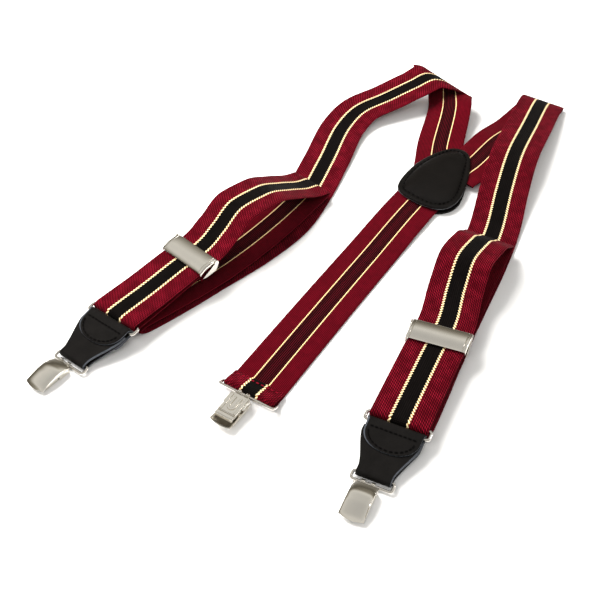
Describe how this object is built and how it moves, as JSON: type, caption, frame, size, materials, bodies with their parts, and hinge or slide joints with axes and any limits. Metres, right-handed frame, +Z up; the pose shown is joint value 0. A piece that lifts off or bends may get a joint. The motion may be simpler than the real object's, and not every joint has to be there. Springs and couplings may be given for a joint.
{
  "type": "suspenders",
  "caption": "Y-back elastic suspenders laid out flat, with striped webbing, leather tabs, sliding adjusters and metal trouser clips.",
  "frame": {"origin": "on the surface it lies on, in the middle of its outline", "axes": "+Z up out of the surface, +Y from the clips towards the shoulder folds (its longest way), +X to the right seen with the clips nearest"},
  "size_m": [0.3752, 0.4259, 0.0308],
  "materials": {
    "webbing": "ribbed elastic webbing with a centre stripe between two light lines",
    "leather": "smooth fine-grained black",
    "nickel": "polished warm nickel plate",
    "black_thread": "waxed sewing thread",
    "red_thread": "sewing thread",
    "grip": "moulded, toothed"
  },
  "bodies": {
    "root": {"left_front_strap": "webbing", "right_front_strap": "webbing", "back_strap": "webbing", "yoke_outer_patch": "leather", "yoke_inner_patch": "leather", "yoke_stitches": "black_thread", "back_hem_stitches": "red_thread"},
    "left_ring": {"left_ring": "nickel"},
    "left_tab": {"left_leather_tab": "leather", "left_tab_stitches": "black_thread"},
    "left_bail": {"left_bail": "nickel"},
    "left_clip": {"left_clip_body": "nickel", "left_clip_pin": "nickel"},
    "left_cover": {"left_clip_cover": "nickel", "left_grip_pad": "grip"},
    "left_adjuster": {"left_adjuster_frame": "nickel", "left_adjuster_pin": "nickel", "left_strap_tail": "webbing"},
    "left_adjuster_lever": {"left_adjuster_cover": "nickel"},
    "right_ring": {"right_ring": "nickel"},
    "right_tab": {"right_leather_tab": "leather", "right_tab_stitches": "black_thread"},
    "right_bail": {"right_bail": "nickel"},
    "right_clip": {"right_clip_body": "nickel", "right_clip_pin": "nickel"},
    "right_cover": {"right_clip_cover": "nickel", "right_grip_pad": "grip"},
    "right_adjuster": {"right_adjuster_frame": "nickel", "right_adjuster_pin": "nickel", "right_strap_tail": "webbing"},
    "right_adjuster_lever": {"right_adjuster_cover": "nickel"},
    "back_bail": {"back_bail": "nickel"},
    "back_clip": {"back_clip_body": "nickel", "back_clip_pin": "nickel"},
    "back_cover": {"back_clip_cover": "nickel", "back_grip_pad": "grip"}
  },
  "joints": [
    {"name": "left_ring_swing", "type": "hinge", "parent": "root", "child": "left_ring", "pos_m": [-0.1402, -0.07, 0.0104], "axis": [-0.7934, 0.6088, 0], "range_deg": [-5, 60]},
    {"name": "left_tab_swing", "type": "hinge", "parent": "left_ring", "child": "left_tab", "pos_m": [-0.14371, -0.07458, 0.0098], "axis": [-0.7934, 0.6088, 0], "range_deg": [-10, 60]},
    {"name": "left_bail_swing", "type": "hinge", "parent": "left_tab", "child": "left_bail", "pos_m": [-0.16275, -0.09939, 0.00306], "axis": [-0.7934, 0.6088, 0], "range_deg": [-40, 40]},
    {"name": "left_clip_swing", "type": "hinge", "parent": "left_bail", "child": "left_clip", "pos_m": [-0.16584, -0.10342, 0.00193], "axis": [-0.7934, 0.6088, 0], "range_deg": [-40, 40]},
    {"name": "left_cover_hinge", "type": "hinge", "parent": "left_clip", "child": "left_cover", "pos_m": [-0.17188, -0.10635, 0.00363], "axis": [-0.7934, 0.6088, 0], "range_deg": [0, 70]},
    {"name": "left_adjuster_slide", "type": "slide", "parent": "root", "child": "left_adjuster", "axis": [0.6851, 0.722, 0.0967], "range_m": [-0.006, 0.005]},
    {"name": "left_lever_hinge", "type": "hinge", "parent": "left_adjuster", "child": "left_adjuster_lever", "pos_m": [-0.09387, -0.01794, 0.01952], "axis": [-0.7254, 0.6884, 0], "range_deg": [0, 90]},
    {"name": "right_ring_swing", "type": "hinge", "parent": "root", "child": "right_ring", "pos_m": [0.0298, -0.151, 0.008], "axis": [-0.9063, 0.4226, 0], "range_deg": [-5, 60]},
    {"name": "right_tab_swing", "type": "hinge", "parent": "right_ring", "child": "right_tab", "pos_m": [0.02736, -0.15623, 0.0074], "axis": [-0.9063, 0.4226, 0], "range_deg": [-10, 60]},
    {"name": "right_bail_swing", "type": "hinge", "parent": "right_tab", "child": "right_bail", "pos_m": [0.01397, -0.18495, 0.00294], "axis": [-0.9063, 0.4226, 0], "range_deg": [-40, 40]},
    {"name": "right_clip_swing", "type": "hinge", "parent": "right_bail", "child": "right_clip", "pos_m": [0.01182, -0.18957, 0.00192], "axis": [-0.9063, 0.4226, 0], "range_deg": [-40, 40]},
    {"name": "right_cover_hinge", "type": "hinge", "parent": "right_clip", "child": "right_cover", "pos_m": [0.00783, -0.19433, 0.00362], "axis": [-0.9063, 0.4226, 0], "range_deg": [0, 70]},
    {"name": "right_adjuster_slide", "type": "slide", "parent": "root", "child": "right_adjuster", "axis": [0.3583, 0.9333, 0.0251], "range_m": [-0.006, 0.005]},
    {"name": "right_lever_hinge", "type": "hinge", "parent": "right_adjuster", "child": "right_adjuster_lever", "pos_m": [0.06011, -0.08448, 0.01356], "axis": [-0.9336, 0.3584, 0], "range_deg": [0, 90]},
    {"name": "back_bail_swing", "type": "hinge", "parent": "root", "child": "back_bail", "pos_m": [-0.0552, -0.1261, 0.0028], "axis": [-0.8434, 0.5373, 0], "range_deg": [-50, 70]},
    {"name": "back_clip_swing", "type": "hinge", "parent": "back_bail", "child": "back_clip", "pos_m": [-0.05769, -0.13001, 0.00516], "axis": [-0.8434, 0.5373, 0], "range_deg": [-60, 60]},
    {"name": "back_cover_hinge", "type": "hinge", "parent": "back_clip", "child": "back_cover", "pos_m": [-0.06209, -0.13432, 0.00346], "axis": [0.8434, -0.5373, 0], "range_deg": [0, 70]}
  ]
}
